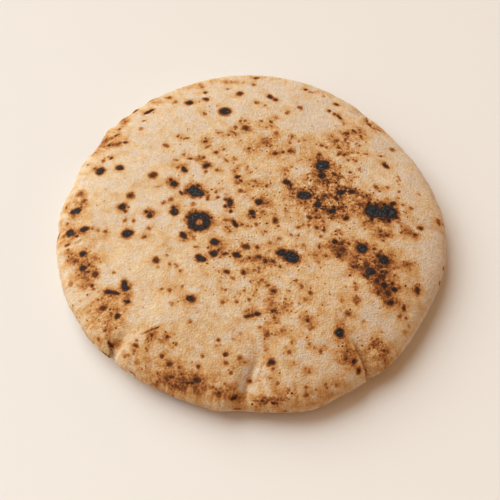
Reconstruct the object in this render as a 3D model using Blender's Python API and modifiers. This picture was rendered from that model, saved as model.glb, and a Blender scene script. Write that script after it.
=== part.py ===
"""Pita bread: a round flat loaf of leavened wheat dough, puffed up in a hot oven and settled again.

The loaf is one piece of bread that lies on its flat underside, with +Z up and the origin on the
surface below its middle. It starts as a turned blank with a low crown, a rounded rim and a flat
foot. The blank is then pushed into the uneven outline, the soft swells and the pinched pleats
that a loaf rolled out by hand has. All sizes are in metres and all angles in degrees.
"""

import math

import bpy
from mathutils import Vector

# Driving dimensions of the blank.
LOAF_WIDTH = 0.190
LOAF_HEIGHT = 0.0245
RIM_HEIGHT = 0.0085  # the widest line of the rim, above the surface
FOOT_WIDTH = 0.156  # what lies flat on the surface
CROWN_FULLNESS = 0.43  # 0.5 is half an ellipse, and less is flatter on top with a rounder shoulder

# How finely the blank is turned.
TURN_STEPS = 216
CROWN_RINGS = 14
UNDERSIDE_RINGS = 5
MERGE_DISTANCE = 0.00001

# Where the outline leaves the circle: direction, reach to each side, and how far it stands out.
OUTLINE_BULGES = (
    (4, 4, 0.0010),
    (28, 16, -0.0024),
    (48, 14, -0.0022),
    (94, 24, 0.0025),
    (149, 5, -0.0012),
    (163, 6, -0.0021),
    (201, 6, 0.0004),
    (216, 6, 0.0005),
    (244, 10, -0.0010),
    (262, 6, 0.0008),
    (286, 11, 0.0029),
    (308, 10, 0.0012),
    (335, 7, -0.0005),
    (350, 8, 0.0008),
)

# Swells and hollows of the crown: middle (x, y), reach, and lift.
CROWN_SWELLS = (
    (-0.038, -0.060, 0.022, 0.0018),
    (0.030, -0.066, 0.020, 0.0014),
    (0.066, -0.036, 0.018, 0.0012),
    (-0.066, -0.012, 0.013, -0.0012),
    (0.036, 0.062, 0.018, -0.0010),
    (-0.024, 0.040, 0.020, -0.0008),
)

# Pleats pinched into the rim: direction of the mouth, slant from the radius, length, half width on
# the left and on the right as seen from the mouth, and depth. They fade out down the rim's wall.
PLEAT_BOTTOM = 0.002
PLEAT_FULL_HEIGHT = 0.015
PLEATS = (
    (226.5, 2, 0.017, 0.0024, 0.0032, 0.0042),
    (266.8, -20, 0.038, 0.0036, 0.0062, 0.0034),
    (304, -10, 0.024, 0.0019, 0.0048, 0.0036),
    (181, 18, 0.018, 0.0024, 0.0024, 0.0014),
    (146, 10, 0.016, 0.0030, 0.0030, 0.0012),
    (47, -30, 0.016, 0.0022, 0.0036, 0.0014),
)


def fresh_collection(name):
    """Empties the scene and returns a new collection in it."""
    for old in list(bpy.data.objects):
        bpy.data.objects.remove(old, do_unlink=True)
    collection = bpy.data.collections.new(name)
    bpy.context.scene.collection.children.link(collection)
    return collection


def smoothstep(low, high, value):
    share = min(1.0, max(0.0, (value - low) / (high - low)))
    return share * share * (3.0 - 2.0 * share)


def bell(distance, reach):
    return math.exp(-((distance / reach) ** 2))


def turn_between(angle, other):
    """The signed turn from one direction to another, within half a turn."""
    return (angle - other + 180.0) % 360.0 - 180.0


def crown_height(radius):
    """Height of the blank's crown at a distance from its axis."""
    share = max(0.0, 1.0 - (2.0 * radius / LOAF_WIDTH) ** 2)
    return RIM_HEIGHT + (LOAF_HEIGHT - RIM_HEIGHT) * share**CROWN_FULLNESS


def blank_profile():
    """The blank's outer side as (radius, height), from the middle of the crown down to the middle of the foot."""
    rim_radius, foot_radius = LOAF_WIDTH / 2.0, FOOT_WIDTH / 2.0
    points = []
    for ring in range(CROWN_RINGS + 1):
        radius = rim_radius * math.sin(0.5 * math.pi * ring / CROWN_RINGS)
        points.append((radius, crown_height(radius)))
    for ring in range(1, UNDERSIDE_RINGS + 1):
        turn = 0.5 * math.pi * ring / UNDERSIDE_RINGS
        radius = foot_radius + (rim_radius - foot_radius) * math.cos(turn)
        points.append((radius, RIM_HEIGHT * (1.0 - math.sin(turn))))
    points.append((0.0, 0.0))
    return points


def turn_blank(collection):
    """Turns the profile about the upright axis and returns the blank as a mesh object."""
    points = [(radius, 0.0, height) for radius, height in blank_profile()]
    edges = [(i, i + 1) for i in range(len(points) - 1)]
    mesh = bpy.data.meshes.new("pita_bread")
    mesh.from_pydata(points, edges, [])
    loaf = bpy.data.objects.new("pita_bread", mesh)
    collection.objects.link(loaf)
    screw = loaf.modifiers.new("Turn", "SCREW")
    screw.axis = "Z"
    screw.steps = screw.render_steps = TURN_STEPS
    screw.use_merge_vertices = True
    screw.merge_threshold = MERGE_DISTANCE
    bpy.context.view_layer.objects.active = loaf
    loaf.select_set(True)
    bpy.ops.object.modifier_apply(modifier=screw.name)
    return loaf


def outline_share(direction):
    """How far the rim stands out in a direction, as a share of the blank's radius."""
    standing_out = sum(
        height * bell(turn_between(direction, middle), reach) for middle, reach, height in OUTLINE_BULGES
    )
    return 1.0 + standing_out / (LOAF_WIDTH / 2.0)


def swell_at(x, y):
    return sum(lift * bell(math.hypot(x - mx, y - my), reach) for mx, my, reach, lift in CROWN_SWELLS)


def pleat_depth(x, y):
    """How deep the pleats are at a place, each deepest at its mouth on the rim and running out inwards."""
    depth = 0.0
    for mouth, slant, length, left_width, right_width, deepest in PLEATS:
        out = Vector((math.cos(math.radians(mouth)), math.sin(math.radians(mouth))))
        heading = math.radians(mouth + slant)
        inwards = -Vector((math.cos(heading), math.sin(heading)))
        from_mouth = Vector((x, y)) - out * LOAF_WIDTH / 2.0
        along = from_mouth.dot(inwards) / length
        across = from_mouth.dot(inwards.orthogonal())
        half_width = left_width if across > 0.0 else right_width
        run_out = 1.0 - smoothstep(0.0, 1.0, along)
        depth += deepest * run_out * bell(across, half_width)
    return depth


def shape_loaf(mesh):
    """Pushes the turned blank into the loaf's outline, swells and pleats. The foot stays flat."""
    normals = [vertex.normal.copy() for vertex in mesh.vertices]
    for vertex, normal in zip(mesh.vertices, normals):
        x, y, z = vertex.co
        widened = outline_share(math.degrees(math.atan2(y, x)))
        x, y = x * widened, y * widened
        pleat_share = smoothstep(PLEAT_BOTTOM, PLEAT_FULL_HEIGHT, z)
        on_the_crown = smoothstep(RIM_HEIGHT, LOAF_HEIGHT, z)
        lifted = Vector((x, y, z + swell_at(x, y) * on_the_crown))
        vertex.co = lifted - normal * pleat_depth(x, y) * pleat_share


def centre_loaf(mesh):
    """Slides the loaf sideways, so that the origin is below the middle of its box."""
    for axis in (0, 1):
        places = [vertex.co[axis] for vertex in mesh.vertices]
        middle = (min(places) + max(places)) / 2.0
        for vertex in mesh.vertices:
            vertex.co[axis] -= middle


def crust_material():
    material = bpy.data.materials.new("baked_crust")
    material.use_nodes = True
    shader = material.node_tree.nodes["Principled BSDF"]
    shader.inputs["Base Color"].default_value = (0.62, 0.39, 0.19, 1.0)
    shader.inputs["Roughness"].default_value = 0.85
    shader.inputs["Metallic"].default_value = 0.0
    return material


def build_pita():
    collection = fresh_collection("pita")
    loaf = turn_blank(collection)
    shape_loaf(loaf.data)
    centre_loaf(loaf.data)
    loaf.data.materials.append(crust_material())
    loaf.data.shade_smooth()


build_pita()
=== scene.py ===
import math
import random

import bpy
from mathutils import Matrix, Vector, noise
from mathutils.kdtree import KDTree


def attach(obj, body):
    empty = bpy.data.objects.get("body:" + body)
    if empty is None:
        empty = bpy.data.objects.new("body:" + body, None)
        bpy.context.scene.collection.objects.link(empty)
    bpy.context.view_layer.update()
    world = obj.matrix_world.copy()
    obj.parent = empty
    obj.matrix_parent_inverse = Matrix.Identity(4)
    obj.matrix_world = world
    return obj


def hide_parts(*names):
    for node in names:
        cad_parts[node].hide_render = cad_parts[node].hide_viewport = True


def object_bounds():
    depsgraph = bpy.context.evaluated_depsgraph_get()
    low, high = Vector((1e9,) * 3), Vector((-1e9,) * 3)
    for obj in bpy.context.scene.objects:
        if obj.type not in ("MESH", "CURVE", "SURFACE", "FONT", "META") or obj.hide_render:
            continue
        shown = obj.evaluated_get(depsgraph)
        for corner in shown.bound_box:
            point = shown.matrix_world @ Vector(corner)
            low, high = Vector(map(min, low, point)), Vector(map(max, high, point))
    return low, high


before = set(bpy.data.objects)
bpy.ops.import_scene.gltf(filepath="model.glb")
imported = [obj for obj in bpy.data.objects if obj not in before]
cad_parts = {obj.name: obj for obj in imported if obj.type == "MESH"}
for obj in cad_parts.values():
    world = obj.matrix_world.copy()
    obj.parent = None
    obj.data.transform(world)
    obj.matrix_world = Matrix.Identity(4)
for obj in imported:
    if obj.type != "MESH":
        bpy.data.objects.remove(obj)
cad_low, cad_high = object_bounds()


# The crust is the loaf's whole outside: one closed skin of wheat dough that set in a very hot oven.
# It starts from the loaf's own solid, is given even small faces, and is then pushed into the soft
# swells, blisters, creases and scalloped rim that the dough took while it puffed up and settled.
MM = 0.001
MERGE_DISTANCE = 0.00001
FACE_SIZE = 0.00089
LOAF_TOP = cad_high.z
RIM_RADIUS = (cad_high.x - cad_low.x) / 2
RIM_LINE = 0.0085  # height of the widest line of the rim
SEAM_DROP = 0.0025  # how much lower the thin lip round the rim runs at the front
SEAM_LIP = 0.00045  # how far that lip stands out
LIP_WIDTH = 0.0011
GROOVE_RISE = 0.0026  # how far above the lip a shallow groove runs
GROOVE_WIDTH = 0.0012
WALL_TOP = 0.0135  # above this the lip and its groove fade out
RIM_FILL = 0.00022  # what the rim lost when its faces were evened out
FOOT_TOP = 0.0004  # up to here the loaf stays as flat as its solid
FOOT_LINE = 0.0016  # and from here up it has all of its bumps

bpy.ops.object.select_all(action="DESELECT")
crust = bpy.data.objects.new("baked_crust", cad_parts["pita_bread"].data.copy())
bpy.context.scene.collection.objects.link(crust)
crust.data.materials.clear()
bpy.context.view_layer.objects.active = crust
crust.select_set(True)
bpy.ops.object.mode_set(mode="EDIT")
bpy.ops.mesh.select_all(action="SELECT")
bpy.ops.mesh.remove_doubles(threshold=MERGE_DISTANCE)
bpy.ops.mesh.tris_convert_to_quads()
bpy.ops.object.mode_set(mode="OBJECT")
smooth = crust.modifiers.new("Smooth", "SUBSURF")
smooth.levels = smooth.render_levels = 1
bpy.ops.object.modifier_apply(modifier=smooth.name)
even = crust.modifiers.new("Even faces", "REMESH")
even.mode = "VOXEL"
even.voxel_size = FACE_SIZE
bpy.ops.object.modifier_apply(modifier=even.name)
crust.data.shade_smooth()


def smoothstep(low, high, value):
    share = min(1.0, max(0.0, (value - low) / (high - low)))
    return share * share * (3.0 - 2.0 * share)


def bell(distance, reach):
    return math.exp(-((distance / reach) ** 2))


def waves(place, length, seed):
    """Even noise between about -1 and 1, with waves of the given length."""
    return noise.noise(place / length + Vector((seed, seed * 1.7, seed * 0.6)))


def line_gap(x, y, points):
    """Distance to a line of points, positive on its left, and the share of the line travelled to there."""
    spot, passed, nearest = Vector((x, y)), 0.0, None
    for start, end in zip(map(Vector, points), map(Vector, points[1:])):
        line, offset = end - start, spot - start
        share = min(1.0, max(0.0, offset.dot(line) / line.length_squared))
        gap = (offset - line * share).length
        if nearest is None or gap < abs(nearest[0]):
            side = line.x * offset.y - line.y * offset.x
            nearest = (math.copysign(gap, side), passed + share * line.length)
        passed += line.length
    return nearest[0], nearest[1] / passed


# Creases, as lines of points in millimetres, with their depth, half width and the height of the lip
# on their left.
CREASES = (
    (((-52, -62.6), (-47.5, -61.2), (-42.5, -59.2)), 0.35, 0.5, 0.1),
    (((-50, -67), (-46.3, -64.6), (-44.5, -61)), 0.2, 0.6, 0.1),
    (((-85.5, -12.6), (-81, -10.8)), 0.5, 0.8, 0.3),
    (((59.3, 68), (60.0, 60.5), (63, 57.8), (67, 56.5)), 0.6, 0.9, 0.4),
    (((-6, -95), (-2.6, -89), (-1.2, -84), (3.5, -73)), 0.7, 1.3, 0.0),
    (((2, -86), (3.8, -81), (6.5, -74)), 0.15, 0.6, 0.1),
    (((54.6, -84), (51.4, -76), (49.3, -70.5), (47.0, -64)), 1.5, 1.0, 0.7),
    (((-72, -14), (-64, -22)), 0.3, 0.9, 0.1),
    (((-76, -20), (-69, -26)), 0.3, 0.9, 0.1),
)
LINE_REACH = 36  # nothing farther than this from a line's first point is moved by the line
FINE_REACH = 2.6  # how close to a line the skin needs finer faces
FINE_ABOVE = 9.0  # and how high up it has to be for that, in millimetres too

# Folds, where one side of the dough laps over the other, as lines of points that start at the rim.
# Then how far the left side stands up and the right side drops, and how soon both level out again.
FOLDS = (
    (((55.5, -86), (52.6, -79.8), (49.6, -75), (47.4, -69.5), (45.8, -63.5)), 0.7, 1.3, 2.6),
    (((-67.5, -72), (-65.4, -66.8), (-67.6, -60.5)), 0.8, 1.7, 2.0),
    (((-66, -76), (-61.5, -69), (-57, -60.5)), -0.6, -0.7, 2.6),
)

# Bumps and notches of the rim: place, reach, and how far they stand out.
RIM_BUMPS = (
    (-0.0525, 0.0795, 0.0030, 0.0008),
    (-0.0565, 0.0770, 0.0014, -0.0009),
    (-0.0610, 0.0735, 0.0028, 0.0008),
    (-0.0640, 0.0710, 0.0014, -0.0010),
    (-0.0675, 0.0680, 0.0025, 0.0009),
    (-0.0710, 0.0625, 0.0015, -0.0010),
    (-0.0740, 0.0600, 0.0030, 0.0008),
    (-0.0815, 0.0470, 0.0016, -0.0008),
)


def on_a_line(place):
    """Whether a place is close enough to a crease or fold to need finer faces."""
    spot = place / MM
    return spot.z > FINE_ABOVE and any(
        math.hypot(spot.x - points[0][0], spot.y - points[0][1]) < LINE_REACH
        and abs(line_gap(spot.x, spot.y, points)[0]) < FINE_REACH
        for points, *_ in CREASES + FOLDS
    )


bpy.ops.object.mode_set(mode="EDIT")
bpy.ops.mesh.select_all(action="DESELECT")
bpy.ops.mesh.select_mode(type="FACE")
bpy.ops.object.mode_set(mode="OBJECT")
for face in crust.data.polygons:
    face.select = on_a_line(face.center)
bpy.ops.object.mode_set(mode="EDIT")
bpy.ops.mesh.subdivide(number_cuts=1)
bpy.ops.object.mode_set(mode="OBJECT")


def above_seam(place):
    """Height above the thin lip round the rim, where the loaf's top and its underside meet."""
    return place.z - RIM_LINE - SEAM_DROP * min(0.0, place.y / math.hypot(place.x, place.y, MM))


# Bumps all over the dough, and wrinkles that run down the rim: length of their waves, height and seed.
BUMPS = ((0.024, 0.00035, 3.1), (0.0085, 0.00022, 5.2), (0.0040, 0.00005, 7.3), (0.0021, 0.00002, 9.4))
RIM_WRINKLES = ((0.0045, 0.00024, 2.2), (0.0024, 0.00016, 4.4))
WRINKLE_STRETCH = 4  # how much longer the wrinkles are upright than around the rim
UNDERSIDE_TILT = -0.2  # no crease or fold shows where the skin's normal points lower than this


def rim_relief(place, rim):
    """How far the wrinkles, the thin lip and the scallops stand out. rim goes from 1 there to 0 inwards."""
    x, y, z = place
    stretched = RIM_RADIUS / max(math.hypot(x, y), MM)
    around = Vector((x * stretched, y * stretched, z / WRINKLE_STRETCH))
    wrinkles = sum(out * waves(around, length, seed) for length, out, seed in RIM_WRINKLES)
    above = above_seam(place)
    lip = bell(above, LIP_WIDTH) - 0.7 * bell(above - GROOVE_RISE, GROOVE_WIDTH)
    raggedness = 0.7 + 0.5 * waves(around, 0.014, 6.6)
    on_the_wall = smoothstep(WALL_TOP + MM, WALL_TOP - MM, z)
    height = RIM_FILL + wrinkles + on_the_wall * raggedness * SEAM_LIP * lip
    for bump_x, bump_y, reach, out in RIM_BUMPS:
        height += out * bell(math.hypot(x - bump_x, y - bump_y), reach)
    return height * rim


def line_relief(x, y):
    """How far the creases and folds raise or lower the top of the dough, in millimetres."""
    height = 0.0
    for points, depth, half_width, lip in CREASES:
        if math.hypot(x - points[0][0], y - points[0][1]) < LINE_REACH:
            gap, travelled = line_gap(x, y, points)
            ends = smoothstep(0.0, 0.2, travelled) * smoothstep(1.0, 0.7, travelled)
            raised = lip * bell(gap - 1.6 * half_width, half_width)
            height += ends * (raised - depth * bell(gap, half_width))
    for points, rise, drop, reach in FOLDS:
        if math.hypot(x - points[0][0], y - points[0][1]) < LINE_REACH:
            gap, travelled = line_gap(x, y, points)
            side = rise if gap > 0.0 else -drop
            height += side * math.exp(-abs(gap) / reach) * smoothstep(1.0, 0.5, travelled)
    return height


def relief(place, normal):
    """How far the dough stands out from the plain solid at a place, along its normal."""
    height = sum(out * waves(place, length, seed) for length, out, seed in BUMPS)
    rim = smoothstep(RIM_RADIUS - 12 * MM, RIM_RADIUS - 2 * MM, math.hypot(place.x, place.y))
    height += rim_relief(place, rim)
    on_top = normal.z > UNDERSIDE_TILT
    return height + MM * line_relief(place.x / MM, place.y / MM) if on_top else height


places = [vertex.co.copy() for vertex in crust.data.vertices]
normals = [vertex.normal.copy() for vertex in crust.data.vertices]
for vertex, place, normal in zip(crust.data.vertices, places, normals):
    free = smoothstep(FOOT_TOP, FOOT_LINE, place.z)
    if free > 0.0:
        vertex.co = place + normal * relief(place, normal) * free
crust.data.update()


# Scorch marks, where the skin touched the oven's wall or blistered, and in the fold at the front left some
# painted shade:
# x, y and radius, or x, y, half length, half width and the turn of the long side in degrees. All in
# millimetres, seen from above.
CHARRED = (
    # back left
    (-53, 67.5, 3, 1.1, 25), (-32, 71.7, 2, 1.7, 0), (-13.5, 64.3, 2.9, 2.6, 0),
    # back right
    (9.7, 75, 1.9, 1.2, -40), (28, 82.3, 1), (44.8, 63.3, 2, 1, -60),
    # left
    (-75.4, 29.6, 2.4, 2.2, 0), (-65.3, 30, 2.2, 1.5, -30), (-86, 6.8, 3, 1.9, 0), (-62.8, 6.3, 2, 1.7, 0),
    (-88.3, -5.5, 2.2, 2, 0), (-81, -4.6, 2.4, 1.4, 0), (-59.8, -9, 2.8, 2.2, 0),
    (-81, -18.3, 1.9, 1.5, 0), (-80.3, -26, 2, 1.6, 0), (-59.8, -35.8, 1.3), (-58.8, -38.8, 1.9, 1.7, 0),
    (-67.5, -39.8, 1.8, 1.4, 0), (-64.8, -40.5, 3.6, 0.9, -12), (-59.5, -37.2, 2.4, 1.6, 75),
    (-57.8, -45.8, 1.4, 1.2, 0), (-62.3, -52.3, 1.7, 1.3, 10),
    # middle, left of the axis
    (-33.3, 27.2, 2.2, 1.2, -65), (-22.2, 29.2, 1.9, 1.6, 0), (-7, 22, 1.5, 1.2, 0), (-39.6, 20.5, 1.2),
    (-38, 18.3, 2.2, 1.8, -45), (-27.5, 13.2, 4.2, 3, -25), (-28.5, 16, 1.6), (-26.3, 16.7, 1.2),
    (-25, 12, 2), (-31, 14, 1.4), (-10.7, 6.5, 2.8, 1.5, 90), (-12.5, 8.3, 0.8), (-12.7, 4.3, 0.9),
    (-10, 1.5, 0.9), (-37.8, 4.3, 1), (-37.2, 1.8, 2), (-50.9, 2.3, 1.2), (-49.3, 0.5, 1.5),
    (-32.5, -11.7, 2.4, 1.5, -55), (-8, -5.8, 2.3, 1.3, -60), (-17.7, -15.8, 2.1, 1.9, 0),
    (-18, -22, 2, 1.9, 0), (-24, -24.7, 2.6, 1.7, -30), (-7, -23, 2.3, 1.5, -35),
    (-28.3, -45.8, 2.3, 1.7, 0),
    # middle, right of the axis
    (17, 18.5, 2, 1.5, 0), (19, 16.8, 0.9), (35, 29.5, 3.4, 3.3, 0), (37.5, 31.5, 1.2),
    (34.5, 22.8, 2.3, 2, 0), (34.2, 25.7, 1), (43.3, 13.3, 2.2, 1.8, 0), (41.8, 15, 1),
    (49, 13.8, 2, 1.6, 0), (25.5, 10.8, 3.6, 2.8, 0), (32, 5.5, 1.9, 2.2, 0), (32.3, 8.3, 1),
    (31, 2.3, 1.1), (34.8, 3, 0.9), (39, 2, 2.3, 1.8, 30), (39.8, 4.2, 1), (3.5, 6.8, 1.9, 1.8, 0),
    (0.2, 0.5, 1.6), (0.7, -2, 1), (45.5, -1.7, 1.5, 1.2, 30), (14, -21.7, 2.6, 2.2, 0),
    (18.7, -24, 4.2, 3, -20), (39.5, -15.2, 1.7, 1.2, 0),
    # right: two lobes that run together, then the spots in front of them
    (58.6, 3.2, 4.3, 4.0, 0), (56.8, 7.4, 1.9, 1.3, 60), (60.5, 6.6, 1.6), (58, -1, 1.9, 1.2, 90),
    (66.3, 3.6, 4.6, 4.2, 0), (68.6, 8.3, 2.1, 1.3, 50), (64.4, 7.6, 1.5), (69.7, 1.0, 2, 1.5, -30),
    (66.3, -1.0, 2, 1.5, 90), (62.4, 2.6, 3.2, 2.6, 0), (52.3, -18, 2.8, 2.7, 0), (62.5, -24, 2.8, 2.6, 0),
    (60, -22, 1.5), (56, -30.5, 2.6, 2.3, 0), (62, -37.5, 2), (67, -39, 1.8, 1.5, 0),
    (64.8, -45.5, 1.4, 1.2, 0),
    # one blister scorched all round a small bare top
    (-21.5, -4.2, 2.2), (-22.2, -2.0, 2.2), (-24.1, -0.8, 2.2), (-26.3, -0.7, 2.4), (-28.2, -1.9, 2.5),
    (-28.9, -4.2, 2.2), (-28.2, -6.4, 2.1), (-26.3, -7.7, 2.0), (-24.1, -7.6, 2.1), (-22.2, -6.4, 2.2),
    (-31.0, -1.6, 0.9), (-19.4, -2.4, 0.9), (-27.0, 1.8, 0.8),
    # front
    (2.6, -53.4, 1.3, 1.1, 0), (8.7, -76.3, 1.7, 1.6, 0), (40.3, -62, 2.2, 2.9, 0),
    (46.7, -74.5, 1.3, 1.2, 0),
)
SCORCHED = (
    # back left
    (-60.3, 70.2, 1.8, 0.8, 32), (-52.3, 78, 3.2, 0.6, 36), (-67.5, 57.2, 0.7), (-68.5, 53, 1.6, 0.8, 10),
    (-72.2, 47, 1), (-67, 46.5, 1.5, 1, 0), (-63.5, 46.8, 1.4, 1, 0), (-24, 79, 1),
    (-23.5, 73.7, 1.7, 1.2, -30), (-6, 77.3, 1.8, 1.5, 0), (-3, 53, 1.9, 1.6, 0),
    # back right
    (12.2, 73, 1.3, 1.2, 0), (2.5, 90.5, 1.6, 1.3, 0), (9.7, 57.3, 1.2, 0.7, -50),
    (44, 72.4, 1.3, 0.9, -20), (40, 67.3, 0.8), (42.5, 65.2, 0.9), (48.3, 51.7, 1.8, 1.1, 0),
    (52.3, 53.3, 1.7, 1, -40), (55.3, 50.5, 1, 0.6, 90), (47.4, 47.8, 0.9), (59.5, 64, 2.2, 0.7, 85),
    (60.2, 60.3, 1.8, 0.7, -60), (62.6, 57.8, 1.8, 0.6, -20),
    # left
    (-70.4, 37.2, 0.8), (-48.6, 24, 2.2, 1.9, 0), (-91.4, 10.5, 0.7), (-59, 12.6, 1.7, 1.6, 0),
    (-61.5, 3.7, 1.3, 0.7, -60), (-84.7, -8, 1.2, 0.8, 0), (-89, -12, 1.6, 0.7, 10), (-84, -20.7, 1),
    (-78, -28.3, 1.3, 0.8, 0), (-75.2, -35.6, 0.9), (-74, -30.3, 1.8, 1.7, 0), (-69.5, -47.8, 1.8, 1.5, 0),
    (-94.3, -4.5, 1.5, 0.7, 90),
    # middle, left of the axis
    (-23, 44.6, 1.3, 0.9, 0), (-17.6, 37.3, 1.2, 1, 0), (-30.3, 33.8, 1.2, 0.6, 0), (-23.8, 34.2, 0.8),
    (-17, 26.4, 0.8), (-5.3, 19.5, 1.2, 0.7, -40), (-1.3, 39.5, 1.1, 0.8, 50),
    (-34.3, 12.7, 1.6, 0.8, -50), (-21.2, 9.3, 1.3, 0.7, 80), (-16.3, 9.7, 0.9, 0.7, 0), (-4.8, -6.2, 0.7),
    (-15.8, -20.3, 0.9), (-12.7, -22.3, 1.8, 0.9, 15), (-2.8, -18.5, 1.9, 1.7, 0), (-1, -24.5, 0.8, 1, 0),
    (-45.2, -24.8, 1.7, 1.5, -45), (-11.8, -32, 1.5, 1.1, -30), (-3.8, -32, 1.1, 1.6, 0),
    # middle, right of the axis
    (7.3, 16, 0.8), (11.6, 36.4, 1.4, 1.2, 0), (15.6, 37.4, 0.9), (19.2, 38.2, 1, 0.8, 0),
    (33.8, 36.3, 1.1), (35.2, 42.3, 1.2, 0.9, 0), (43.5, 41.5, 1.2, 0.8, 0), (42.5, 46.2, 1.3, 1, 0),
    (43.5, 37.2, 1.3, 0.7, 45), (46.5, 37.3, 1.3, 0.7, 50), (48.7, 26.2, 0.8), (41, 24.3, 1.9, 1.3, -30),
    (37.5, 19, 1.2, 1, 0), (42.7, 16.8, 0.9), (41.3, 9.3, 1.8, 1.2, -50), (43.8, 4.5, 1.3, 0.9, 20),
    (11.2, -4, 1.3, 1.7, 0), (28, -1.8, 1.5, 1.3, 0), (31.3, -7.5, 1), (34.5, -8.8, 0.9),
    (2.4, -18.8, 1.2), (32, -18, 1.4, 0.7, 90), (3.3, -24, 1.6, 1.4, 0), (6.5, -26.3, 1.6, 1.2, -50),
    (10.2, -26.5, 1.5, 1.2, -40), (10, -42, 1.6, 1.4, 0), (27.2, -43, 0.9, 1.2, 0), (43.5, -15, 0.9),
    (46.1, -15.8, 0.9), (41.7, -22.3, 1.6, 1.5, 0), (42.6, -19.2, 2.4, 1.8, 0), (48.5, -28.3, 1.8, 1.2, 0),
    # right
    (66.8, 32.3, 2.2, 1.3, -50), (56, 12.8, 0.9, 1, 0), (81.8, -3.8, 1.5, 1.1, 0), (78.6, -8, 1.3, 1, 0),
    (62, -7.8, 1, 0.7, 70), (64.5, -10, 0.9), (58.3, -18, 1), (61.5, -19, 0.8), (58.5, -35.5, 1.8),
    (66, -36, 1.2), (59, -42, 0.9), (71.2, -47.3, 1.2, 1.6, 0), (60.5, -27.5, 1.8, 1.3, 0),
    (54.3, -27, 2.0), (53.5, -32.5, 1.8, 1.4, 0), (61, -33, 2.4, 2.0, 0), (63.5, -41, 2.0),
    (74, -24.7, 0.8), (78.2, -37.5, 1.3, 2.3, 0),
    # front; the streak at (-65.1, -64.2) is painted shadow under the fold's lifted edge
    (-65.1, -64.2, 2.0, 0.9, -65), (-53.3, -67.3, 1.5, 1, -20), (-46, -63, 0.7), (-38.7, -64.2, 1),
    (-41, -73, 0.9), (-37.3, -76.7, 1.5, 1.2, 0), (-24.3, -78.3, 0.9), (-28, -85, 2.5, 0.8, 0),
    (-36.3, -82, 1.8, 1.3, 0), (-25, -84, 2.0, 1.6, 0), (-12, -73, 1.1), (-0.8, -84, 0.9),
    (-1.8, -54.5, 2, 0.9, 25), (-8, -91.6, 1.6, 1.1, 0), (0.2, -54.2, 1), (10, -52, 1.8, 1, 0),
    (25.7, -56.8, 1), (43, -74, 0.9, 0.8, 0), (48.8, -78.5, 1.5), (5, -93, 1.3, 0.7, 0),
    (10.5, -94, 1.5, 0.8, 0), (60.8, -68.5, 0.9),
)
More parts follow.
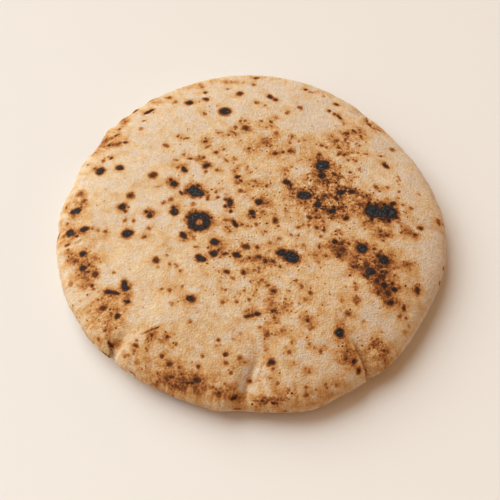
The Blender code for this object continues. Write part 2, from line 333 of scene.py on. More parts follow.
BROWNED = (
    # back left
    (-79.6, 51.2, 5.5, 0.5, 58), (-66.2, 64.8, 1.6, 0.9, 60), (-71.5, 51.7, 1.2), (-65, 60.8, 0.8),
    (-75, 46.5, 1), (-39.6, 72.8, 1.1), (-42.5, 77, 1.3), (-24, 63.4, 1.5, 0.9, -40), (-25.8, 84.3, 0.9),
    (-3.5, 57.8, 0.9), (-5.5, 57.6, 0.8), (-8, 53.5, 1), (-9, 50, 1.5, 0.7, -35),
    (-16.5, 49.8, 1.2, 0.5, 0), (-32.5, 47, 1.2, 0.5, 0),
    # back right
    (2.8, 70.4, 1.5, 0.9, -20), (1.2, 84.3, 1), (25, 68, 1.4), (18.3, 63.8, 1.3, 0.9, 70),
    (12.5, 49.7, 1.3), (65, 57, 1.6, 0.6, -20),
    # left
    (-78.3, 31.7, 1.2), (-74, 36, 1.2), (-84.8, 17.3, 2, 1.9, 0), (-82.5, 12.3, 1.8, 1.6, 0),
    (-87, 4.3, 1.4), (-90, 0.5, 0.8), (-74, -6, 0.8), (-70.5, -6.7, 1.3, 1, 0), (-61.3, -1.5, 1.1),
    (-57, -2, 1.1), (-49.3, -7, 1.1), (-51.3, -11.5, 1.6, 0.9, 20), (-85.7, -20, 0.9, 0.6, 0),
    (-74.5, -21.3, 1.3), (-77.7, -32.3, 1.2), (-68, -58.5, 1), (-71, -62, 1, 1.3, 0),
    # middle, left of the axis
    (-43, 42.8, 2, 1.1, -35), (-21.8, 41.3, 1.6, 0.8, 30), (-36.3, 28.5, 1.1), (-22.8, 31.3, 1),
    (-12.3, 31.8, 1.4, 0.7, -60), (-5.3, 13.3, 1.4, 1.2, 0), (-17.2, 13, 0.9), (-42.7, 7.2, 1.3, 0.9, 35),
    (-39.3, 9.3, 1.2), (-27.7, -13.1, 1.5, 0.8, -55), (-26.5, -18.3, 1.3, 0.5, 0),
    (-12, -3.6, 1.5, 0.9, 0), (-11.5, -8.3, 0.9), (-10.3, -9.8, 0.8), (-4.5, -26, 1.4, 0.7, 40),
    (-35.6, -28, 1.3, 0.8, -50), (-8.8, -35.3, 0.9), (-38.3, -41.2, 1.1), (-13.5, -47.5, 1.3, 1.1, -60),
    (-1.3, -46.5, 0.8),
    # middle, right of the axis
    (4.9, 0.8, 1.2), (7.8, 6.3, 1, 0.7, 0), (37, 16.8, 1), (41.3, 19, 1), (42.5, 22, 1),
    (44.3, 23.2, 1.2, 0.9, 0), (37.5, 11.5, 1.2, 1, 0), (22.5, -7.5, 1.3, 1, 30), (13, -14, 1.3, 1, 0),
    (8.7, -16.6, 1), (2, -6.3, 1.2, 0.8, -50), (33, -12.5, 0.9), (8, -28, 0.9), (13.2, -29.3, 0.9),
    (1.3, -31, 1.2, 0.8, 0), (4.8, -36.2, 1), (7.3, -39.2, 1.2, 0.8, 0), (23.3, -39.5, 1.2),
    (17.5, -42, 0.9, 0.6, 0), (37.2, -15.3, 0.9), (40, -20.5, 1), (35, -23, 0.9), (46.2, -30, 0.9),
    (48.7, -46, 1.8, 2, 0),
    # right
    (70.9, 44, 1.1), (57.3, 38.6, 1, 0.7, 0), (64.5, 38, 1, 0.7, 0), (61.2, 17.8, 1.6, 1.1, -30),
    (66.8, 18.2, 0.8), (54.3, 11.5, 0.9), (78, 7, 1.2, 0.9, 0), (91.5, 2, 1.2, 2, 0), (71, -1.5, 1),
    (72.3, -7.3, 1.3, 0.7, 45), (61.5, -38.5, 6.4, 4.2, -52), (56, -30, 5.0, 4.0, -30),
    (62.5, -24.5, 4.8, 4.0, 0), (52.3, -18.2, 4.4, 3.8, 0), (42, -20.4, 4.2, 3.4, 0),
    (51, -28.5, 3.2, 1.4, -30), (69, -51.5, 1.1), (92.5, -22, 1.2, 0.7, 60), (90, -30, 1.2, 0.7, 60),
    # front; the thin line at (-68.5, -68.8) is painted shadow under the rim's lip
    (-47.8, -64.6, 1.8, 0.3, 50), (-46.4, -60.8, 5.4, 0.6, 20), (-68.5, -68.8, 4.5, 0.5, -42),
    (-54.8, -77.6, 1.8, 0.6, -35), (-19, -87.5, 1), (-16, -88.5, 0.9), (-13, -89.5, 1),
    (-31, -84.6, 2.2, 0.8, 0), (-38.5, -83, 2, 0.9, 0), (-12, -77, 1.2), (-5.3, -74.8, 1.1),
    (-6.5, -94.5, 2.0, 0.9, -20), (7, -63.3, 1.5, 1.8, 0), (18.3, -67.5, 0.8, 1.2, 0), (17.2, -72.2, 1),
    (31.3, -71.2, 1.1), (11.6, -86, 0.9), (44.7, -52.5, 1.8, 1.6, 0), (38.3, -85.4, 1), (24.5, -90.5, 1.2),
    (10.5, -55.5, 1), (9, -49, 1), (-2.5, -52.3, 0.8), (2, -92.6, 1.8, 0.6, 0), (8, -92.6, 2, 0.7, 0),
    (12.5, -92.4, 1.6, 0.7, 0), (42, -58, 1), (-47.5, -66, 1.2, 0.5, 30), (-28.3, -57.5, 0.9),
)
GOLDEN = (
    # bare top of the blister
    (-25.2, -4.2, 1.7),
    # back
    (-56.3, 55.3, 1.2), (-32.5, 84, 0.9), (-10.5, 87, 1.3), (-4, 86.5, 0.8), (31, 80.5, 2, 1.2, 0),
    (37.5, 78.2, 1), (12.5, 60, 1.5), (53, 48, 1), (-12.7, 81, 1.1),
    # left and middle
    (-77, -4.5, 1.2), (-86, -33, 1.5), (-79, -35.5, 2), (-86.5, -20, 3.2, 1.8, 20),
    (-80, -23, 3.4, 2.4, -30), (-76, -29, 3.4, 2, -35), (-38, 33.3, 1.6, 0.8, -15), (-46, 17, 1.4, 0.8, 0),
    (-12.7, 11.5, 0.7), (-28.5, 6, 1.3), (-44, -28.5, 0.7), (-37, -48.2, 1.2), (16.5, 1.7, 1.2),
    (26.2, 40.5, 0.8), (34.5, 11.5, 1.5), (8.6, -20.8, 0.7), (9.5, -47, 1), (42, -46.3, 1.6, 1.1, 0),
    # right
    (82.5, 16.3, 0.8), (75, -27, 1.2), (73, -55.3, 0.9), (71.5, -58.5, 1.2), (51.5, -56, 1.2),
    (42.5, -20, 4.4, 3.6, 0), (50.5, -28.5, 4.4, 2, -35), (57.5, -26, 7, 3.6, -30),
    (61.5, -38, 6.5, 3.8, -55), (73, 25, 2.2, 0.6, -75), (72.3, 22, 1.6, 0.5, -75),
    # front; the patch at (-63, -64) darkens the fold's pit, partly toasting and partly painted shade
    (44, -74, 4.0, 2.8, 20), (-33, -83.5, 8, 1.6, -8), (-9, -88, 2.6, 1.8, 0), (9, -92.5, 9, 1.3, 0),
    (-63, -64, 3.2, 1.8, 40), (-57.5, -71, 2, 1, 0), (-52.5, -74.5, 1.5), (-16, -69, 0.8),
    (-8.5, -66, 0.9), (11.5, -58, 1.5, 0.8, 0), (6.8, -68, 1), (19, -77, 0.7, 1.3, 0), (33, -69, 0.7),
    (40.8, -51, 0.9), (39, -75, 0.8), (16.5, -89, 1.3),
)
# Small dark specks: x, y and radius.
SPECKS = (
    # back
    (-55, 61, 0.6), (-11.5, 48.2, 0.8), (-37, 48.5, 0.7), (-35.5, 47.3, 0.7), (6.8, 68.6, 0.6),
    (10, 54.3, 0.6), (7.8, 53.3, 0.5), (5, 57.7, 0.7), (20.5, 47.7, 0.8), (47.1, 59, 0.7), (54.8, 55, 0.8),
    # left
    (-82.5, 35.5, 0.6), (-79, 43.5, 0.8), (-88.5, -15, 0.8), (-86.5, -17.8, 0.6), (-82, -29.5, 0.8),
    (-74.5, -37.5, 0.7), (-65, -30.1, 0.6), (-75.3, -25.8, 0.6), (-57.2, -42.5, 0.6), (-70, -43, 0.6),
    # middle, left of the axis
    (-33.8, 36.6, 0.8), (-27.2, 33.3, 0.6), (-25.5, 33.5, 0.6), (-19.8, 28.7, 0.7), (-22.6, 25.6, 0.8),
    (-8.2, 32.6, 0.6), (-7.1, 27, 0.7), (-8.3, 25.3, 0.7), (-6.7, 18, 0.7), (-1.3, 17.2, 0.6),
    (-2, 27.8, 0.5), (-0.7, 24, 0.5), (-20.8, 11, 0.6), (-47.2, 0.8, 0.7), (-32.3, -14.5, 0.7),
    (-2.5, -7.2, 0.5), (-14.2, -17.5, 0.7), (-20.5, -18.7, 0.6), (-14.8, -24.2, 0.6), (-5.8, -21.3, 0.7),
    (-4.5, -16.8, 0.7), (-40.2, -22.2, 0.6), (-38.7, -27.4, 0.7), (-33.5, -31, 0.5), (-15.5, -31.6, 0.5),
    (-0.5, -37, 0.7), (-42, -40.3, 0.6), (-32.3, -39.3, 0.5), (-12.3, -41.5, 0.7), (-3.5, -41.7, 0.7),
    (-7, -47.5, 0.7),
    # middle, right of the axis
    (1.5, 19, 0.8), (2.7, 16.3, 0.7), (1, 38.2, 0.6), (6.5, 45.7, 0.7), (9.8, 45.8, 0.5), (7, 43, 0.6),
    (20.6, 47.5, 0.7), (19.3, 43, 0.8), (23.7, 44.7, 0.6), (26.8, 45.4, 0.6), (19.5, 27.8, 0.5),
    (16.3, 26, 0.5), (18, 25.5, 0.5), (16.3, 23.3, 0.7), (27, 20.8, 0.5), (20.4, 14.7, 0.7), (34, 34, 0.9),
    (37.5, 41.5, 0.8), (40.8, 48.7, 0.7), (48, 33.7, 0.7), (40.7, 30.4, 0.7), (43.9, 28.8, 0.5),
    (49, 21.2, 0.6), (39.4, 16.4, 0.7), (42.8, 2, 0.7), (7.3, 4, 0.6), (47.5, 8, 0.6), (48.5, 3.2, 0.6),
    (12.8, -6.8, 0.6), (18.5, -12, 0.8), (22.2, -12.2, 0.7), (6.3, -10.2, 0.5), (25, -5.8, 0.5),
    (27.5, -6.3, 0.8), (34.2, -4, 0.8), (33, -1.5, 0.6), (41.8, -8.6, 0.7), (40.2, -11, 0.7),
    (42.5, -10.3, 0.7), (24.3, -17.3, 0.5), (35.5, -17, 0.5), (3.3, -31.8, 0.7), (3.2, -38, 0.6),
    (20.7, -36.6, 0.7), (25, -46.5, 0.8), (15.6, -46, 0.6), (0.8, -44, 0.6), (18.3, -48.3, 0.5),
    (30.8, -22.7, 0.8), (31.7, -26.5, 0.7), (46, -32.7, 0.8), (48.2, -37, 0.7), (48.4, -40.3, 0.5),
    (44, -39, 0.4),
    # right
    (54.2, 43.9, 0.7), (48.5, 44.6, 0.9), (48.6, 42.5, 0.7), (50, 38.8, 0.6), (53.3, 38.8, 0.7),
    (50.8, 34.3, 0.6), (52, 33.6, 0.7), (53.5, 28.5, 0.7), (62.8, 15.5, 0.6), (72.5, 16.2, 0.7),
    (72.1, 12.2, 0.5), (73.8, 8.5, 0.7), (75, 4, 0.5), (67.5, -9.8, 0.5), (62.8, -13, 0.8), (58, -16, 0.7),
    (48.5, -23.8, 0.8), (52.7, -23.9, 0.6), (68.8, -45, 0.5), (67.5, -31.5, 0.7), (67.3, -27.8, 0.7),
    (68, -20.8, 0.5), (71.8, -52, 0.6),
    # front
    (-53, -64.8, 0.6), (-42.3, -65.5, 0.6), (-34.7, -68, 0.6), (-22.3, -73.5, 0.7), (-15.5, -66.2, 0.9),
    (-3.3, -76.5, 0.8), (-9.5, -81.5, 0.8), (-12.3, -86, 0.5), (15.3, -50.3, 0.7), (26, -54.7, 0.7),
    (28, -60.2, 0.9), (27, -61, 0.7), (4, -60.2, 0.7), (6.5, -71, 0.6), (13.7, -62, 0.8), (11, -63.8, 0.6),
    (26.2, -68.3, 0.8), (28.3, -70, 0.5), (9.6, -79.3, 0.8), (8.3, -83.3, 0.6), (26, -80.7, 0.7),
    (24.2, -79.5, 0.6), (39.5, -59, 0.8), (43.5, -68, 0.8), (33.5, -85.5, 0.8), (34, -87, 0.6),
    (58, -66, 0.8), (54, -68, 0.6),
)
# How dark each kind of mark is at its middle, from 0, raw dough, to 1, charcoal.
STRENGTHS = ((CHARRED, 0.98), (SCORCHED, 0.82), (BROWNED, 0.67), (GOLDEN, 0.53), (SPECKS, 0.70))
UNDERSIDE_MARKS = 260
UNDERSIDE_SEED = 4
SLOTS = 3  # how many of its nearest marks a face keeps
MARK_REACH = 2.8  # how far beyond a mark's end a face still keeps it
HALO_REACH = 1.75  # how far the skin browns round a mark
MOST_TOASTED = 0.42  # what patches and halos together come close to, and never pass


def placed_marks():
    """The listed marks as (place on the skin, long side's direction, half length, half width, strength)."""
    rows = [(spot, strength) for spots, strength in STRENGTHS for spot in spots]
    marks = []
    for spot, strength in rows:
        x, y, half_length = spot[0] * MM, spot[1] * MM, spot[2]
        half_width, turn = spot[3:] if len(spot) == 5 else (half_length, 0)
        if half_width > half_length:
            half_length, half_width, turn = half_width, half_length, turn + 90
        hit, place, normal, _ = crust.ray_cast((x, y, 2 * LOAF_TOP), (0, 0, -1))
        if not hit:
            _, place, normal, _ = crust.closest_point_on_mesh((x, y, RIM_LINE))
        along = Vector((math.cos(math.radians(turn)), math.sin(math.radians(turn)), 0))
        along = (along - normal * along.dot(normal)).normalized()
        if strength == STRENGTHS[0][1]:
            # A small charred mark isn't quite black.
            strength = min(1.0, strength - 0.13 + 0.055 * half_width)
        marks.append((place, along, half_length, half_width, strength))
    return marks


def underside_marks(draws, amount):
    """Marks of the oven's floor on the underside, drawn at random and larger than those on top."""
    marks = []
    for _ in range(amount):
        turn, radius = draws.uniform(0, 2 * math.pi), RIM_RADIUS * math.sqrt(draws.random()) * 0.97
        size = 0.5 + 2.6 * draws.random() ** 3
        strength = min(1.0, draws.uniform(0.4, 0.8) + 0.12 * size)
        place = Vector((radius * math.cos(turn), radius * math.sin(turn), 0))
        _, place, normal, _ = crust.closest_point_on_mesh(place)
        along = Vector((math.cos(3 * turn), math.sin(3 * turn), 0))
        along = (along - normal * along.dot(normal)).normalized()
        marks.append((place, along, size * draws.uniform(1.0, 1.6), size, strength))
    return marks


marks = placed_marks() + underside_marks(random.Random(UNDERSIDE_SEED), UNDERSIDE_MARKS)


def mark_gap(spot, place, along, half_length, half_width):
    """Distance in millimetres from a mark's edge, negative inside it."""
    offset = (spot - place) / MM
    lengthways = offset.dot(along)
    sideways = math.sqrt(max(0.0, offset.length_squared - lengthways**2))
    share = math.hypot(lengthways / half_length, sideways / half_width)
    return offset.length * (1.0 - 1.0 / share) if share > 0.05 else -half_width


def finder_of(spots):
    """A tree that finds which of many spots lie near a place."""
    finder = KDTree(len(spots))
    for index, spot in enumerate(spots):
        finder.insert(spot, index)
    finder.balance()
    return finder


# Each face keeps the marks nearest to it, and the material works out the exact distance from them.
finder = finder_of([face.center for face in crust.data.polygons])
near_marks = [[] for _ in crust.data.polygons]
for number, (place, along, half_length, half_width, strength) in enumerate(marks):
    for spot, index, _ in finder.find_range(place, (half_length + MARK_REACH) * MM):
        gap = mark_gap(spot, place, along, half_length, half_width)
        near_marks[index].append((gap - strength, number))
for near in near_marks:
    near.sort()
for slot in range(SLOTS):
    centres, stretches, sizes = [], [], []
    for near in near_marks:
        if slot < len(near):
            place, along, half_length, half_width, strength = marks[near[slot][1]]
            centres.extend(place)
            stretches.extend(along * math.sqrt(1 / half_width**2 - 1 / half_length**2))
            sizes.extend((half_width, strength, 0.0))
        else:
            centres.extend((0.0, 0.0, 1.0))
            stretches.extend((0.0, 0.0, 0.0))
            sizes.extend((1.0, 0.0, 0.0))
    for name, values in (("centre", centres), ("stretch", stretches), ("size", sizes)):
        kept = crust.data.attributes.new(f"mark_{name}_{slot + 1}", "FLOAT_VECTOR", "FACE")
        kept.data.foreach_set("vector", values)

# Wide patches: x, y, reach along x and along y in millimetres, and how strong they are at the middle.
# First where the skin is baked darker, then where it is paler, mostly where flour was left on it or
# taken off, though on the right rim at (89, -14) it is painted light, and then where it is full of small
# spots.
TOASTED = (
    # back
    (-71, 50, 8, 7, 0.34), (-65, 64, 3, 4, 0.30), (-76, 53, 3, 6, 0.22), (-57, 68, 4, 3, 0.15),
    (-48, 76, 6, 3, 0.26), (-30, 84, 7, 3, 0.14), (-15, 88, 10, 3, 0.22), (32, 80, 7, 4, 0.14),
    (59, 62, 5, 6, 0.16), (50, 52, 9, 7, 0.20), (5, 46, 12, 7, 0.14), (-24, 47, 8, 5, 0.08),
    (12, 36, 9, 9, 0.10), (36, 47, 6, 6, 0.14), (46, 42, 7, 4, 0.12), (26, 37, 6, 5, 0.10),
    # left
    (-84, 10, 5, 7, 0.20), (-88, -3, 7, 5, 0.18), (-80, -21, 7, 10, 0.26), (-78, -32, 5, 6, 0.16),
    (-73, -8, 5, 5, 0.10), (-69, -50, 9, 9, 0.28), (-64, -57, 6, 4, 0.14), (-60, -42, 6, 5, 0.12),
    (-92, 0, 4, 14, 0.10),
    # middle
    (-35, 20, 9, 7, 0.08), (-26, 15, 6, 5, 0.06), (-25, -6, 9, 8, 0.08), (-48, -12, 6, 5, 0.10),
    (-15, -18, 9, 7, 0.07), (2, 5, 7, 9, 0.10), (0, -27, 9, 6, 0.07), (8, -48, 6, 12, 0.12),
    (20, -22, 8, 5, 0.12), (0, 20, 18, 18, 0.05), (10, -10, 25, 30, 0.05),
    # right
    (35, 25, 6, 9, 0.34), (22, 12, 7, 6, 0.26), (37, 4, 9, 6, 0.30), (48, 12, 6, 5, 0.32),
    (32, 14, 9, 8, 0.18), (42, 20, 5, 6, 0.14), (60, 4, 11, 8, 0.34), (62, -9, 7, 6, 0.20),
    (78, -6, 7, 4, 0.20), (89, 3, 4, 6, 0.12), (45, -19, 9, 7, 0.22), (58, -24, 9, 8, 0.30),
    (61, -35, 8, 9, 0.30), (75, -28, 5, 8, 0.20), (67, -44, 6, 6, 0.22), (78, -38, 3, 4, 0.18),
    (42, -57, 5, 9, 0.18), (44, -74, 6, 5, 0.26), (58, -70, 8, 6, 0.36), (30, 2, 25, 12, 0.05),
    (26, 36, 5, 5, 0.14), (37, 22, 5, 6, 0.12), (24, 11, 5, 5, 0.10), (37, -1, 5, 4, 0.12),
    (48, 12, 5, 5, 0.12), (60, -2, 8, 4, 0.12),
    # front
    (0, -60, 6, 8, 0.08), (27, -55, 12, 10, 0.07), (-55, -71, 7, 4, 0.10), (-41, -64, 8, 6, 0.14),
    (-38, -78, 12, 6, 0.23), (-26, -86, 13, 5, 0.32), (-12, -91, 8, 3.5, 0.24), (12, -92.5, 11, 4, 0.27),
    (30, -90, 13, 5, 0.16), (-44, -82, 14, 4, 0.14), (0, -65, 60, 30, 0.04),
)
PALED = (
    (33, 62, 13, 12, 1.1), (20, 80, 15, 7, 0.6), (2, 82, 12, 8, 0.4), (-26, 26, 5, 8, 0.9),
    (-78, 25, 8, 4, 0.6), (-45, 60, 20, 14, 0.4), (-60, 35, 16, 12, 0.35), (-66, -32, 6, 6, 0.7),
    (-5, 65, 10, 12, 0.4), (76, 13, 5, 5, 0.6), (78, 32, 9, 15, 0.6), (62, 45, 10, 6, 0.3),
    (58, -55, 9, 7, 0.7), (86, -28, 7, 24, 0.7), (-1, -85, 4, 7, 0.6), (-5, -87, 2.5, 6, 0.4),
    (-48, -52, 12, 7, 0.25), (-60, 5, 12, 10, 0.2), (-36, -5, 6, 8, 0.3), (-18, 5, 6, 8, 0.4),
    (-20, 75, 20, 10, 0.3), (49, 25, 6, 5, 0.8), (73, -1, 5, 4, 0.5), (24, 23, 5, 4, 0.5),
    (24, -14, 8, 7, 0.4), (-12, -24, 5, 4, 0.5), (-86, -28, 3, 6, 0.5), (26, -70, 9, 9, 0.3),
    # (89, -14) is painted light: it lifts the right rim, which turns away from the key light.
    (-12, -62, 8, 6, 0.3), (60, -14, 3, 3, 0.4), (89, -14, 7, 20, 0.6), (-18, 10, 8, 6, 0.4),
    (72, 46, 7, 8, 0.5), (84, 22, 6, 8, 0.4), (-60, -35, 6, 4, 0.4), (-50, -75, 6, 3, 0.4),
    (-55, 10, 40, 40, 0.1), (0, 8, 30, 30, 0.15), (-35, -88, 32, 6, -0.5),
)
FRECKLED = (
    (2, 47, 20, 14, 0.7), (20, 14, 18, 14, 0.7), (36, -3, 16, 14, 0.8), (15, -44, 22, 16, 0.8),
    (47, 38, 13, 13, 1.0), (40, 15, 16, 16, 0.9), (57, -30, 14, 16, 0.7), (-5, -25, 20, 20, 0.5),
    (-15, 45, 25, 12, 0.5), (0, 8, 30, 30, 0.35), (56, -70, 9, 7, 1.0), (-70, -53, 12, 9, 0.6),
)


def patch_strength(patches, place):
    """How strong all patches of a list are together at a place."""
    x, y = place.x / MM, place.y / MM
    return sum(
        strength * math.exp(-(((x - mx) / reach_x) ** 2) - ((y - my) / reach_y) ** 2)
        for mx, my, reach_x, reach_y, strength in patches
    )


# The skin browns round every mark too, by how dark the mark is. Along the lip the skin is paler, partly
# flour and partly painted light that lifts the shaded underside of the rim.
skin_places = [vertex.co.copy() for vertex in crust.data.vertices]
browning = [0.0] * len(skin_places)
finder = finder_of(skin_places)
for place, along, half_length, half_width, strength in marks:
    reach = (half_length + 2.2 * HALO_REACH) * MM
    for spot, index, _ in finder.find_range(place, reach):
        gap = mark_gap(spot, place, along, half_length, half_width)
        browning[index] += max(0.0, 0.34 * strength - 0.13) * bell(max(0.0, gap), HALO_REACH)

toasting = [patch_strength(TOASTED, spot) + halo for spot, halo in zip(skin_places, browning)]
toasting = [MOST_TOASTED * math.tanh(strength / MOST_TOASTED) for strength in toasting]
paling = [patch_strength(PALED, spot) + 0.5 * bell(above_seam(spot), LIP_WIDTH) for spot in skin_places]
freckling = [patch_strength(FRECKLED, spot) for spot in skin_places]
for name, strengths in (("toasted", toasting), ("paled", paling), ("freckled", freckling)):
    kept = crust.data.attributes.new(name, "FLOAT", "POINT")
    kept.data.foreach_set("value", strengths)


class Tone:
    """A number that changes over the crust. Arithmetic on it adds Math nodes to its finish."""

    def __init__(self, finish, socket):
        self.finish = finish
        self.socket = socket

    def worked(self, operation, *values):
        return self.finish.node("ShaderNodeMath", {"operation": operation}, dict(enumerate(values)))

    def __add__(self, other):
        return self.worked("ADD", self, other)

    def __sub__(self, other):
        return self.worked("SUBTRACT", self, other)

    def __rsub__(self, other):
        return self.worked("SUBTRACT", other, self)

    def __mul__(self, other):
        return self.worked("MULTIPLY", self, other)

    def __truediv__(self, other):
        return self.worked("DIVIDE", self, other)

    def __rtruediv__(self, other):
        return self.worked("DIVIDE", other, self)

    __radd__ = __add__
    __rmul__ = __mul__

    def other_output(self, name):
        """Another output of the node that gives this number."""
        return Tone(self.finish, self.socket.node.outputs[name])

    def root(self):
        return self.worked("SQRT", self)

    def at_least(self, other):
        return self.worked("MAXIMUM", self, other)

    def blended_maximum(self, other, softness):
        return self.worked("SMOOTH_MAX", self, other, softness)

    def less_than(self, other):
        return self.worked("LESS_THAN", self, other)

    def ease(self, low, high):
        """0 below low and 1 above high, with a soft start and end. low may be above high."""
        settings = {"interpolation_type": "SMOOTHSTEP"}
        return self.finish.node(
            "ShaderNodeMapRange", settings, {"Value": self, "From Min": low, "From Max": high}
        )


class Finish:
    """One material, with a method that adds any node to it."""

    def __init__(self, name):
        self.material = bpy.data.materials.new(name)
        self.material.use_nodes = True
        self.tree = self.material.node_tree
        self.shader = self.tree.nodes["Principled BSDF"]

    def node(self, kind, settings=None, sockets=None, output=0):
        """Adds a node with its settings, joins its sockets, and returns one of its outputs."""
        added = self.tree.nodes.new(kind)
        for name, value in (settings or {}).items():
            if name == "stops":
                for number, (position, colour) in enumerate(value):
                    stops = added.color_ramp.elements
                    stop = stops[number] if number < 2 else stops.new(position)
                    stop.position, stop.color = position, (*colour, 1.0)
            else:
                setattr(added, name, value)
        for name, value in (sockets or {}).items():
            self.join(value, added.inputs[name])
        return Tone(self, added.outputs[output])

    def join(self, value, socket):
        if isinstance(value, Tone):
            self.tree.links.new(value.socket, socket)
        else:
            socket.default_value = value

    def attribute(self, name, output="Fac"):
        return self.node("ShaderNodeAttribute", {"attribute_name": name}, output=output)

    def vector(self, operation, first, second, output="Vector"):
        return self.node("ShaderNodeVectorMath", {"operation": operation}, {0: first, 1: second}, output)

    def noise(self, place, length, detail=0.0, roughness=0.5):
        """Noise between about -1 and 1 with waves of the given length in millimetres."""
        sockets = {"Vector": place, "Scale": 1.0 / length, "Detail": detail, "Roughness": roughness}
        return self.node("ShaderNodeTexNoise", None, sockets) * 2.0 - 1.0

    def mixed(self, share, first, second):
        """A colour between two, where share goes from 0, the first, to 1, the second."""
        sockets = {"Factor": share, "A": first, "B": second}
        return self.node("ShaderNodeMix", {"data_type": "RGBA"}, sockets, "Result")


# Where each point of the skin is, in millimetres, and the grain that frays the edges of the marks.
PER_METRE = (1000, 1000, 1000)
crust_finish = Finish("baked_crust")
here = crust_finish.node("ShaderNodeTexCoord", output="Object")
here = crust_finish.vector("MULTIPLY", here, PER_METRE)
fine = crust_finish.noise(here, 1.4) * 0.55 + crust_finish.noise(here, 0.75) * 0.5
flecks = fine.ease(-0.26, 0.26)
fray = crust_finish.noise(here, 2.4) * 0.75 + fine * 0.9


def mark_in_slot(slot):
    """How dark one of a face's marks makes the skin: a brown fringe, then a heart that can be charcoal."""
    centre = crust_finish.attribute(f"mark_centre_{slot}", "Vector")
    centre = crust_finish.vector("MULTIPLY", centre, PER_METRE)
    stretch = crust_finish.attribute(f"mark_stretch_{slot}", "Vector")
    size = crust_finish.attribute(f"mark_size_{slot}", "Vector")
    half_width = crust_finish.node("ShaderNodeSeparateXYZ", None, {"Vector": size})
    strength = half_width.other_output("Y")
    offset = crust_finish.vector("SUBTRACT", here, centre)
    squared = crust_finish.vector("DOT_PRODUCT", offset, offset, "Value")
    lengthways = crust_finish.vector("DOT_PRODUCT", offset, stretch, "Value")
    share = (squared / (half_width * half_width) - lengthways * lengthways).at_least(0.0004).root()
    distance = squared.root()
    gap = distance - distance / share + fray * half_width.ease(0.0, 1.4) - 0.10
    gap = gap / (half_width * 0.26 + 0.50) - half_width.ease(1.0, 4.0) * 0.15
    fringe = gap.ease(1.9, 0.2) * (flecks * 0.17 + 0.38)
    heart = gap.ease(0.7, -0.9) * (0.48 - flecks * 0.17)
    return strength * (fringe + heart + gap.ease(-0.3, -1.4) * 0.14)


burn = mark_in_slot(1)
for slot in range(2, SLOTS + 1):
    burn = burn.at_least(mark_in_slot(slot))

# How far the skin is baked between the marks: patches, streaks down the rim, and cloudy noise.
RIM_STARTS = 82
RIM_IS_FULL = 93
STREAK_RADIUS = 95
toasted = crust_finish.attribute("toasted")
paled = crust_finish.attribute("paled")
freckled = crust_finish.attribute("freckled")
blotch = crust_finish.noise(here, 9.0)
curd = crust_finish.noise(here, 4.0)
mottle = crust_finish.noise(here, 1.9)
grain = crust_finish.noise(here, 0.9, 1.0)
outwards = crust_finish.vector("MULTIPLY", here, (1, 1, 0))
around = crust_finish.vector("NORMALIZE", outwards, (0, 0, 0))
around = crust_finish.vector("MULTIPLY", around, (STREAK_RADIUS, STREAK_RADIUS, 0))
from_middle = crust_finish.vector("DOT_PRODUCT", outwards, outwards, "Value").root()
near_rim = from_middle.ease(RIM_STARTS, RIM_IS_FULL)
streaks = (crust_finish.noise(around, 3.0) * 0.6 + crust_finish.noise(around, 1.5) * 0.5) * near_rim
toasted = (toasted * (fine * (freckled * 0.4 + 0.8) + curd * 0.5 + 1.17)).at_least(0.0)
base = toasted + streaks * 0.22 + blotch * 0.12 + curd * 0.15 + fine * 0.08 + 0.12 - paled * 0.10


def freckles(spacing, reach, share):
    """1 in the middle of scattered spots of a reach in millimetres, and each spot's own random number."""
    sockets = {"Vector": here, "Scale": 1 / spacing}
    cells = crust_finish.node("ShaderNodeTexVoronoi", None, sockets, "Distance")
    colour = cells.other_output("Color")
    drawn = crust_finish.node("ShaderNodeSeparateColor", None, {"Color": colour}, "Red")
    size = drawn.other_output("Green")
    return (cells * (spacing / reach) / (size * 0.6 + 0.7)).ease(1.1, 0.2) * drawn.less_than(share), size


soft_freckles, soft_size = freckles(3.0, 1.0, freckled * 0.5 + 0.22)
dark_freckles, dark_size = freckles(1.8, 0.55, freckled * 0.45 + toasted * 0.55 + 0.05)
base = base + soft_freckles * (soft_size * 0.20 + 0.05) + dark_freckles * (dark_size * 0.45 + 0.12)
bake = base.blended_maximum(burn + fine * burn.ease(1.0, 0.7) * 0.34, 0.10)

# The colour of the skin from raw dough to charcoal, with grey ash and painted glints on the charcoal, and
# pale dust on the paler skin.
BAKE_STOPS = (
    (0.00, (0.745, 0.565, 0.372)), (0.12, (0.700, 0.488, 0.274)), (0.25, (0.645, 0.395, 0.183)),
    (0.36, (0.585, 0.303, 0.110)), (0.48, (0.470, 0.197, 0.056)), (0.58, (0.322, 0.111, 0.032)),
    (0.70, (0.175, 0.060, 0.018)), (0.80, (0.084, 0.029, 0.011)), (0.88, (0.040, 0.018, 0.010)),
    (0.95, (0.017, 0.014, 0.013)), (1.00, (0.012, 0.0125, 0.014)),
)
ASH_AND_GLINT_COLOUR = (0.088, 0.096, 0.104, 1)
PALE_COLOUR = (0.670, 0.545, 0.425, 1)
skin = crust_finish.node("ShaderNodeValToRGB", {"stops": BAKE_STOPS}, {"Fac": bake}, "Color")
# Grey ash and painted glints streak the charcoal of the darkest marks.
ash_and_glints = crust_finish.noise(here, 1.1, 2.0, 0.7).ease(-0.05, 0.45) * bake.ease(0.90, 1.0) * 0.8
skin = crust_finish.mixed(ash_and_glints, skin, ASH_AND_GLINT_COLOUR)
# Pale dust: flour on most of the skin, but painted light along the lip and on the right rim.
pallor = crust_finish.noise(here, 6.0, 1.0) * 1.5 - curd * 0.5 + paled * 0.9 - toasted * 2.2
paleness = pallor.ease(-0.5, 1.1) * bake.ease(0.5, 0.2) * 0.85
skin = crust_finish.mixed(paleness, skin, PALE_COLOUR)
roughened = freckled * 0.35 + 0.85
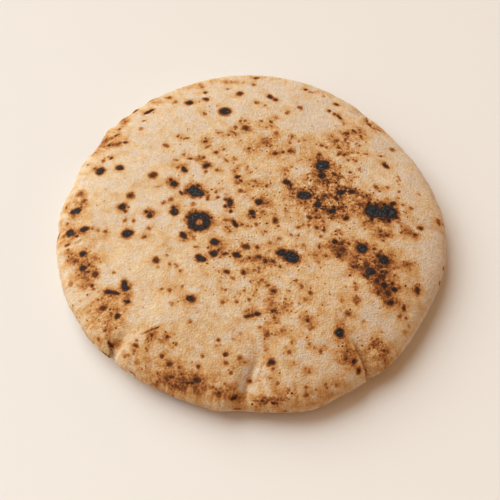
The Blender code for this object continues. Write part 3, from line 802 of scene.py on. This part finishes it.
# Painted shade of the fine grain: the skin is lighter on the grain's bumps and darker in its hollows.
painted_grain_shade = (grain * 0.27 + mottle * 0.12) * roughened + 1.0
skin = crust_finish.vector("MULTIPLY", skin, painted_grain_shade)
roughness = 0.85 - bake.ease(0.85, 0.97) * 0.20
pores = (streaks * 0.20 + grain * 0.24 + mottle * 0.05 + curd * 0.04) * roughened
blisters = bake.ease(0.55, 0.95) * (0.10 + mottle * 0.10)
sockets = {"Strength": 1.0, "Distance": MM, "Height": pores + blisters}
bump = crust_finish.node("ShaderNodeBump", None, sockets, "Normal")
crust_finish.join(skin, crust_finish.shader.inputs["Base Color"])
crust_finish.join(roughness, crust_finish.shader.inputs["Roughness"])
crust_finish.join(bump, crust_finish.shader.inputs["Normal"])
crust_finish.shader.inputs["Specular IOR Level"].default_value = 0.15
crust.data.materials.append(crust_finish.material)

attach(crust, "root")
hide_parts("pita_bread")


# The studio: a sheet of cream paper, a wide soft light from the back left, a smaller one from the
# left, a faint warm one low at the right, and warm light from all round. The camera looks down at the
# loaf from the front with a long lens.
VIEW_POINT = Vector((-0.0008, -0.0130, 0.0120))
CAMERA_RISE = math.radians(59)
CAMERA_DISTANCE = 0.6053
LIGHT_DISTANCE = 0.8
FLOOR_WIDTH = 12
FLOOR_DROP = 0.0002  # the paper lies a hair below the loaf's foot
PAPER_COLOUR = (0.835, 0.812, 0.78, 1)
ROOM_COLOUR = (0.35, 0.195, 0.10, 1)

bpy.ops.mesh.primitive_plane_add(size=FLOOR_WIDTH, location=(0, 0, -FLOOR_DROP))
floor = bpy.context.active_object
floor.name = "floor"
paper = Finish("paper")
paper.shader.inputs["Base Color"].default_value = PAPER_COLOUR
paper.shader.inputs["Roughness"].default_value = 1.0
paper.shader.inputs["Specular IOR Level"].default_value = 0.0
floor.data.materials.append(paper.material)

world = bpy.data.worlds.new("studio")
bpy.context.scene.world = world
world.use_nodes = True
world.node_tree.nodes["Background"].inputs["Color"].default_value = ROOM_COLOUR
world.node_tree.nodes["Background"].inputs["Strength"].default_value = 1.0


def add_light(name, kind, turn, rise, energy, colour):
    """A light that shines at the loaf from a side, given by its turn and its rise in degrees."""
    light = bpy.data.objects.new(name, bpy.data.lights.new(name, kind))
    bpy.context.scene.collection.objects.link(light)
    light.data.energy = energy
    light.data.color = colour
    turn, rise = math.radians(turn), math.radians(rise)
    level = math.cos(rise)
    towards = Vector((math.cos(turn) * level, math.sin(turn) * level, math.sin(rise)))
    light.location = towards * LIGHT_DISTANCE
    light.rotation_euler = towards.to_track_quat("Z", "Y").to_euler()
    return light.data


add_light("key", "SUN", 135, 42, 2.98, (0.91, 1.0, 1.01)).angle = math.radians(62)
add_light("side", "AREA", 188, 33, 2.0, (0.8, 0.93, 1.0)).size = 0.7
add_light("fill", "SUN", 12, 14, 0.32, (1.0, 0.82, 0.62)).angle = math.radians(24)

camera = bpy.data.objects.new("camera", bpy.data.cameras.new("camera"))
bpy.context.scene.collection.objects.link(camera)
camera.data.lens = 90
camera.data.clip_start = 0.01
towards_camera = Vector((0, -math.cos(CAMERA_RISE), math.sin(CAMERA_RISE)))
camera.location = VIEW_POINT + CAMERA_DISTANCE * towards_camera
camera.rotation_euler = (math.pi / 2 - CAMERA_RISE, 0, 0)
bpy.context.scene.camera = camera
bpy.context.scene.view_settings.view_transform = "Standard"
